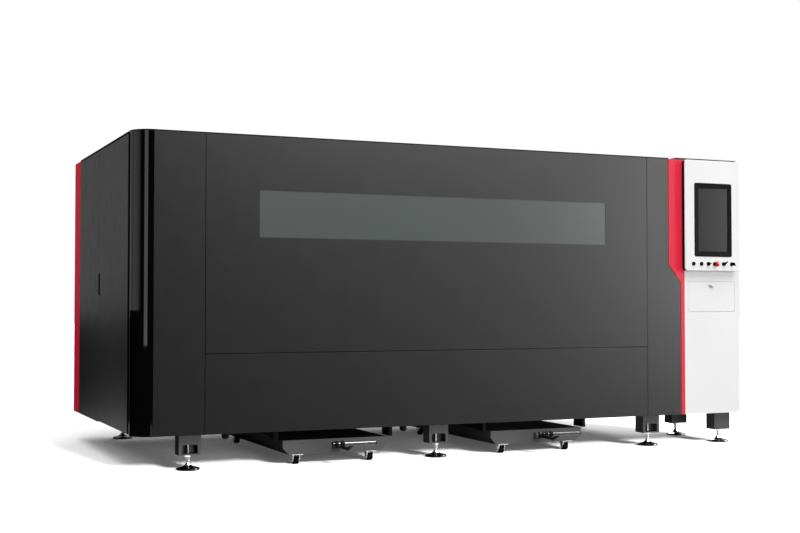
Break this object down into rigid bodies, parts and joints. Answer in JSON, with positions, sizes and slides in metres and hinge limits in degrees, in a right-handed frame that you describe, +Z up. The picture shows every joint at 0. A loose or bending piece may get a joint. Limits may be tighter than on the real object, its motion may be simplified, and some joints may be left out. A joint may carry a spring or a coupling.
{
  "type": "fiber laser cutting machine",
  "caption": "Enclosed sheet-metal laser cutter with a lifting front door, side service door, control column, moving gantry and slag trolleys on casters.",
  "frame": {"origin": "middle of the bounding box at floor level, under the levelling feet", "axes": "+X along the machine towards the control column, +Y from the operator's side to the back, +Z up"},
  "size_m": [4.6216, 2.597, 2.14],
  "materials": {
    "dark_panel": "semi-gloss dark grey paint",
    "gloss_black": "gloss black paint",
    "red_paint": "semi-gloss red paint",
    "white_paint": "fine white paint",
    "black_paint": "satin black paint",
    "frame_grey": "satin grey paint",
    "bare_steel": "plain steel",
    "ground_steel": "ground steel",
    "chrome_metal": "bright chrome",
    "beam_alloy": "anodised",
    "motor_black": "matt black",
    "dark_glass": "dark tinted safety glass",
    "screen_glass": "dark screen glass",
    "black_plastic": "black moulded plastic",
    "red_plastic": "red moulded plastic",
    "grey_plastic": "grey moulded plastic",
    "black_rubber": "black rubber"
  },
  "bodies": {
    "root": {"base_frame": "frame_grey", "machine_legs": "frame_grey", "level_pads": "chrome_metal", "level_screws": "chrome_metal", "trolley_guides": "black_paint", "drain_stubs": "black_paint", "bed_frame": "frame_grey", "table_slats": "bare_steel", "slag_chutes": "bare_steel", "x_rails": "ground_steel", "cabin_frame": "frame_grey", "corner_cover": "gloss_black", "front_panels": "dark_panel", "red_trim": "red_paint", "roof_panels": "dark_panel", "side_panels": "dark_panel", "rear_corner_covers": "red_paint", "rear_panels": "dark_panel", "dust_port": "bare_steel", "door_guides": "ground_steel", "column_shell": "white_paint", "column_cap": "black_paint", "console_body": "black_paint", "console_fascia": "white_paint", "screen_bezel": "black_plastic", "touch_screen": "screen_glass", "switch_collars": "black_plastic", "keyboard": "black_plastic"},
    "gantry": {"gantry_beam": "beam_alloy", "x_motors": "motor_black"},
    "gantry_pinions": {"x_pinions": "ground_steel"},
    "cross_carriage": {"y_carriage": "beam_alloy"},
    "head_slide": {"z_slide": "beam_alloy", "cutting_head": "beam_alloy"},
    "service_door": {"side_door": "dark_panel", "side_handle_dish": "black_plastic"},
    "service_door_handle": {"side_handle_lever": "black_plastic"},
    "lift_door": {"front_door": "dark_panel", "door_window": "dark_glass", "door_shoes": "black_plastic"},
    "start_button": {"start_button": "black_plastic"},
    "stop_button": {"stop_button": "black_plastic"},
    "mode_selector": {"mode_selector": "black_plastic"},
    "emergency_button": {"emergency_button": "red_plastic"},
    "lever_switch": {"lever_switch": "black_plastic"},
    "key_switch": {"key_switch": "ground_steel"},
    "keyboard_flap": {"keyboard_flap": "white_paint"},
    "flap_latch": {"flap_latch": "grey_plastic"},
    "trolley_1": {"trolley_1_tray": "frame_grey", "trolley_1_caster_forks": "chrome_metal"},
    "trolley_1_handle": {"trolley_1_drawbar": "black_paint", "trolley_1_crossbar": "chrome_metal"},
    "trolley_1_front_wheels": {"trolley_1_front_wheels": "black_rubber"},
    "trolley_1_rear_wheels": {"trolley_1_rear_wheels": "black_rubber"},
    "trolley_2": {"trolley_2_tray": "frame_grey", "trolley_2_caster_forks": "chrome_metal"},
    "trolley_2_handle": {"trolley_2_drawbar": "black_paint", "trolley_2_crossbar": "chrome_metal"},
    "trolley_2_front_wheels": {"trolley_2_front_wheels": "black_rubber"},
    "trolley_2_rear_wheels": {"trolley_2_rear_wheels": "black_rubber"}
  },
  "joints": [
    {"name": "gantry_travel", "type": "slide", "parent": "root", "child": "gantry", "axis": [1, 0, 0], "range_m": [0, 3]},
    {"name": "pinion_spin", "type": "hinge", "parent": "gantry", "child": "gantry_pinions", "pos_m": [-1.65925, 0.1225, 0.9303], "axis": [0, 1, 0], "continuous": true},
    {"name": "carriage_travel", "type": "slide", "parent": "gantry", "child": "cross_carriage", "axis": [0, 1, 0], "range_m": [0, 1.36]},
    {"name": "head_lower", "type": "slide", "parent": "cross_carriage", "child": "head_slide", "axis": [0, 0, -1], "range_m": [0, 0.1]},
    {"name": "side_door_swing", "type": "hinge", "parent": "root", "child": "service_door", "pos_m": [-2.29525, -0.8395, 1.175], "axis": [0, 0, 1], "range_deg": [0, 100]},
    {"name": "side_handle_pull", "type": "hinge", "parent": "service_door", "child": "service_door_handle", "pos_m": [-2.30375, 0.1435, 1.239], "axis": [0, 1, 0], "range_deg": [0, 30]},
    {"name": "front_door_lift", "type": "slide", "parent": "root", "child": "lift_door", "axis": [0, 0, 1], "range_m": [0, 0.85]},
    {"name": "start_button_press", "type": "slide", "parent": "root", "child": "start_button", "axis": [0, 1, 0], "range_m": [0, 0.0035], "stiffness_N_per_m": 400},
    {"name": "stop_button_press", "type": "slide", "parent": "root", "child": "stop_button", "axis": [0, 1, 0], "range_m": [0, 0.0035], "stiffness_N_per_m": 400},
    {"name": "mode_selector_turn", "type": "hinge", "parent": "root", "child": "mode_selector", "pos_m": [1.99075, -1.0295, 1.346], "axis": [0, 1, 0], "range_deg": [-70, 0]},
    {"name": "emergency_button_press", "type": "slide", "parent": "root", "child": "emergency_button", "axis": [0, 1, 0], "range_m": [0, 0.005]},
    {"name": "lever_switch_turn", "type": "hinge", "parent": "root", "child": "lever_switch", "pos_m": [2.13175, -1.0295, 1.346], "axis": [0, 1, 0], "range_deg": [-90, 0]},
    {"name": "key_switch_turn", "type": "hinge", "parent": "root", "child": "key_switch", "pos_m": [2.20675, -1.0295, 1.346], "axis": [0, 1, 0], "range_deg": [0, 90]},
    {"name": "keyboard_flap_drop", "type": "hinge", "parent": "root", "child": "keyboard_flap", "pos_m": [2.05225, -0.9785, 1], "axis": [1, 0, 0], "range_deg": [0, 90]},
    {"name": "flap_latch_turn", "type": "hinge", "parent": "keyboard_flap", "child": "flap_latch", "pos_m": [2.04375, -0.9875, 1.18], "axis": [0, 1, 0], "range_deg": [-90, 0]},
    {"name": "trolley_1_pull", "type": "slide", "parent": "root", "child": "trolley_1", "axis": [0, -1, 0], "range_m": [0, 1.3]},
    {"name": "trolley_1_handle_lift", "type": "hinge", "parent": "trolley_1", "child": "trolley_1_handle", "pos_m": [-0.96125, -0.9705, 0.118], "axis": [-1, 0, 0], "range_deg": [0, 60]},
    {"name": "trolley_1_front_wheels_spin", "type": "hinge", "parent": "trolley_1", "child": "trolley_1_front_wheels", "pos_m": [-0.96125, -0.8925, 0.025], "axis": [1, 0, 0], "continuous": true},
    {"name": "trolley_1_rear_wheels_spin", "type": "hinge", "parent": "trolley_1", "child": "trolley_1_rear_wheels", "pos_m": [-0.96125, 0.4625, 0.025], "axis": [1, 0, 0], "continuous": true},
    {"name": "trolley_2_pull", "type": "slide", "parent": "root", "child": "trolley_2", "axis": [0, -1, 0], "range_m": [0, 1.3]},
    {"name": "trolley_2_handle_lift", "type": "hinge", "parent": "trolley_2", "child": "trolley_2_handle", "pos_m": [0.55675, -0.9705, 0.118], "axis": [-1, 0, 0], "range_deg": [0, 60]},
    {"name": "trolley_2_front_wheels_spin", "type": "hinge", "parent": "trolley_2", "child": "trolley_2_front_wheels", "pos_m": [0.55675, -0.8925, 0.025], "axis": [1, 0, 0], "continuous": true},
    {"name": "trolley_2_rear_wheels_spin", "type": "hinge", "parent": "trolley_2", "child": "trolley_2_rear_wheels", "pos_m": [0.55675, 0.4625, 0.025], "axis": [1, 0, 0], "continuous": true}
  ],
  "couplings": [
    {"joint": "pinion_spin", "follows": "gantry_travel", "rad_per_m": 40},
    {"joint": "trolley_1_front_wheels_spin", "follows": "trolley_1_pull", "rad_per_m": 40},
    {"joint": "trolley_1_rear_wheels_spin", "follows": "trolley_1_pull", "rad_per_m": 40},
    {"joint": "trolley_2_front_wheels_spin", "follows": "trolley_2_pull", "rad_per_m": 40},
    {"joint": "trolley_2_rear_wheels_spin", "follows": "trolley_2_pull", "rad_per_m": 40}
  ]
}
